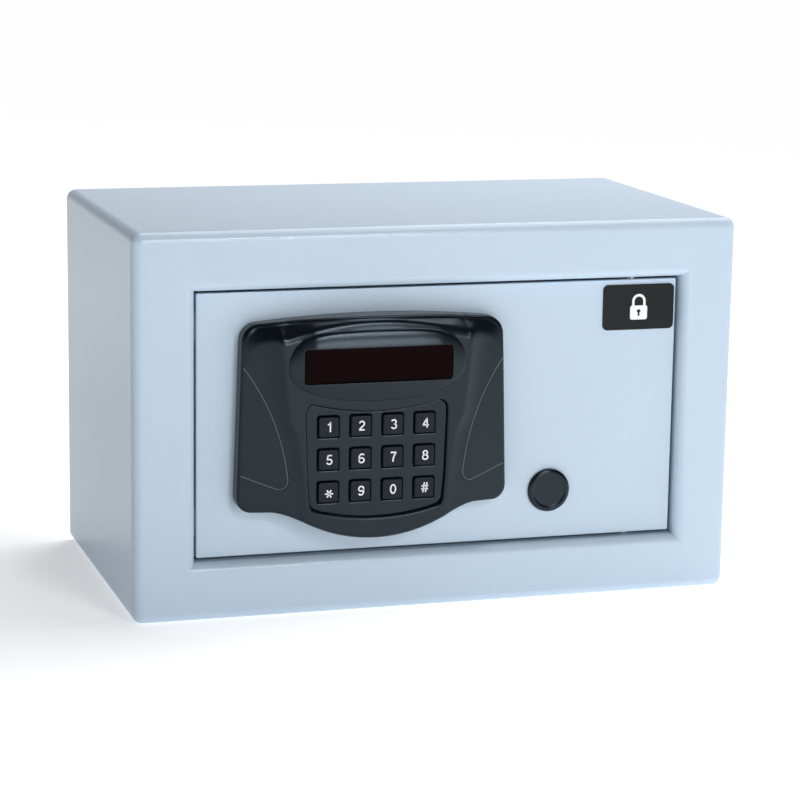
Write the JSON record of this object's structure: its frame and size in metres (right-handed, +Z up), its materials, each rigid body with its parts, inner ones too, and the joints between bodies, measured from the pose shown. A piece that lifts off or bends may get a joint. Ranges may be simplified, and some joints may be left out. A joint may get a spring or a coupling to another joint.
{
  "type": "in-room hotel safe",
  "caption": "Electronic in-room safe: a folded steel cabinet, an inset side-hinged door with a dark keypad and display panel, motor-driven bolts and a capped emergency lock.",
  "frame": {"origin": "bottom centre of the whole safe, on the surface it stands on", "axes": "+X to the right seen from the front, +Y from the front to the back, +Z up"},
  "size_m": [0.31, 0.187, 0.192],
  "materials": {
    "cabinet_paint": "fine orange-peel powder coat, semi-gloss",
    "panel_plastic": "satin moulded ABS, near black",
    "key_plastic": "black keys with white printed figures",
    "trim_plastic": "black, satin gloss",
    "display_filter": "dark red tinted acrylic",
    "display_body": "black display body",
    "zinc_plate": "zinc plated, dull",
    "bright_steel": "turned and ground steel",
    "brass_parts": "machined brass",
    "nylon_parts": "black nylon",
    "mat_felt": "needle-punched felt, dark blue-grey",
    "circuit_board": "green solder mask",
    "silicone_mat": "translucent silicone",
    "switch_plastic": "black moulded plastic",
    "cable_grey": "grey ribbon cable",
    "lead_red": "red wire insulation",
    "cell_sleeve": "plain printed sleeve",
    "button_red": "red button"
  },
  "bodies": {
    "cabinet": {"cabinet_shell": "cabinet_paint", "back_panel": "cabinet_paint", "hinge_bracket_upper": "zinc_plate", "hinge_bracket_lower": "zinc_plate", "door_stops": "cabinet_paint", "floor_mat": "mat_felt"},
    "door": {"door_plate": "cabinet_paint", "door_pan": "cabinet_paint", "hinge_pin_upper": "bright_steel", "hinge_pin_lower": "bright_steel", "hinge_washers": "nylon_parts", "inner_cover": "cabinet_paint", "inner_cover_screws": "zinc_plate", "control_housing": "panel_plastic", "side_cover_left": "panel_plastic", "side_cover_right": "panel_plastic", "keypad_plate": "panel_plastic", "keypad_mat": "silicone_mat", "keypad_board": "circuit_board", "display_window": "display_filter", "display_module": "display_body", "panel_screws": "zinc_plate", "badge": "trim_plastic", "override_lock_body": "zinc_plate", "override_lock_screws": "bright_steel", "gear_motor": "bright_steel", "motor_bracket": "zinc_plate", "motor_screws": "zinc_plate", "guide_studs": "bright_steel", "bolt_bushes": "nylon_parts", "main_board": "circuit_board", "microswitches": "switch_plastic", "ribbon_cable": "cable_grey", "wire_harness": "lead_red", "battery_box": "switch_plastic", "battery_contacts": "bright_steel", "batteries": "cell_sleeve"},
    "bolt_work": {"bolt_carriage": "zinc_plate", "bolt_rack": "bright_steel", "locking_bolt_upper": "bright_steel", "locking_bolt_lower": "bright_steel", "bolt_screws": "bright_steel"},
    "pinion": {"drive_pinion": "brass_parts"},
    "override": {"override_plug": "brass_parts", "override_cam": "bright_steel"},
    "cap": {"key_cap": "trim_plastic"},
    "battery_lid": {"battery_cover": "switch_plastic"},
    "reset": {"reset_button": "button_red"},
    "key_1_cap": {"key_1": "key_plastic"},
    "key_2_cap": {"key_2": "key_plastic"},
    "key_3_cap": {"key_3": "key_plastic"},
    "key_4_cap": {"key_4": "key_plastic"},
    "key_5_cap": {"key_5": "key_plastic"},
    "key_6_cap": {"key_6": "key_plastic"},
    "key_7_cap": {"key_7": "key_plastic"},
    "key_8_cap": {"key_8": "key_plastic"},
    "key_9_cap": {"key_9": "key_plastic"},
    "key_0_cap": {"key_0": "key_plastic"},
    "key_star_cap": {"key_star": "key_plastic"},
    "key_hash_cap": {"key_hash": "key_plastic"}
  },
  "joints": [
    {"name": "door_hinge", "type": "hinge", "parent": "cabinet", "child": "door", "pos_m": [0.10325, -0.0683, 0.096], "axis": [0, 0, 1], "range_deg": [0, 110]},
    {"name": "bolt_slide", "type": "slide", "parent": "door", "child": "bolt_work", "axis": [-1, 0, 0], "range_m": [0, 0.016]},
    {"name": "pinion_spin", "type": "hinge", "parent": "door", "child": "pinion", "pos_m": [0.022, -0.0628, 0.10345], "axis": [0, 1, 0], "range_deg": [0, 144]},
    {"name": "override_turn", "type": "hinge", "parent": "door", "child": "override", "pos_m": [0.0592, -0.0615, 0.0552], "axis": [0, 1, 0], "range_deg": [0, 90]},
    {"name": "cap_pull", "type": "slide", "parent": "door", "child": "cap", "axis": [0, -1, 0], "range_m": [0, 0.03]},
    {"name": "battery_lid_pull", "type": "slide", "parent": "door", "child": "battery_lid", "axis": [0, 1, 0], "range_m": [0, 0.03]},
    {"name": "reset_press", "type": "slide", "parent": "door", "child": "reset", "axis": [0, -1, 0], "range_m": [0, 0.0012], "stiffness_N_per_m": 600, "springref_m": -0.0004},
    {"name": "key_1_press", "type": "slide", "parent": "door", "child": "key_1_cap", "axis": [0, 1, 0], "range_m": [0, 0.0012], "stiffness_N_per_m": 800, "springref_m": -0.0004},
    {"name": "key_2_press", "type": "slide", "parent": "door", "child": "key_2_cap", "axis": [0, 1, 0], "range_m": [0, 0.0012], "stiffness_N_per_m": 800, "springref_m": -0.0004},
    {"name": "key_3_press", "type": "slide", "parent": "door", "child": "key_3_cap", "axis": [0, 1, 0], "range_m": [0, 0.0012], "stiffness_N_per_m": 800, "springref_m": -0.0004},
    {"name": "key_4_press", "type": "slide", "parent": "door", "child": "key_4_cap", "axis": [0, 1, 0], "range_m": [0, 0.0012], "stiffness_N_per_m": 800, "springref_m": -0.0004},
    {"name": "key_5_press", "type": "slide", "parent": "door", "child": "key_5_cap", "axis": [0, 1, 0], "range_m": [0, 0.0012], "stiffness_N_per_m": 800, "springref_m": -0.0004},
    {"name": "key_6_press", "type": "slide", "parent": "door", "child": "key_6_cap", "axis": [0, 1, 0], "range_m": [0, 0.0012], "stiffness_N_per_m": 800, "springref_m": -0.0004},
    {"name": "key_7_press", "type": "slide", "parent": "door", "child": "key_7_cap", "axis": [0, 1, 0], "range_m": [0, 0.0012], "stiffness_N_per_m": 800, "springref_m": -0.0004},
    {"name": "key_8_press", "type": "slide", "parent": "door", "child": "key_8_cap", "axis": [0, 1, 0], "range_m": [0, 0.0012], "stiffness_N_per_m": 800, "springref_m": -0.0004},
    {"name": "key_9_press", "type": "slide", "parent": "door", "child": "key_9_cap", "axis": [0, 1, 0], "range_m": [0, 0.0012], "stiffness_N_per_m": 800, "springref_m": -0.0004},
    {"name": "key_0_press", "type": "slide", "parent": "door", "child": "key_0_cap", "axis": [0, 1, 0], "range_m": [0, 0.0012], "stiffness_N_per_m": 800, "springref_m": -0.0004},
    {"name": "key_star_press", "type": "slide", "parent": "door", "child": "key_star_cap", "axis": [0, 1, 0], "range_m": [0, 0.0012], "stiffness_N_per_m": 800, "springref_m": -0.0004},
    {"name": "key_hash_press", "type": "slide", "parent": "door", "child": "key_hash_cap", "axis": [0, 1, 0], "range_m": [0, 0.0012], "stiffness_N_per_m": 800, "springref_m": -0.0004}
  ],
  "couplings": [
    {"joint": "pinion_spin", "follows": "bolt_slide", "rad_per_m": 156.25}
  ]
}
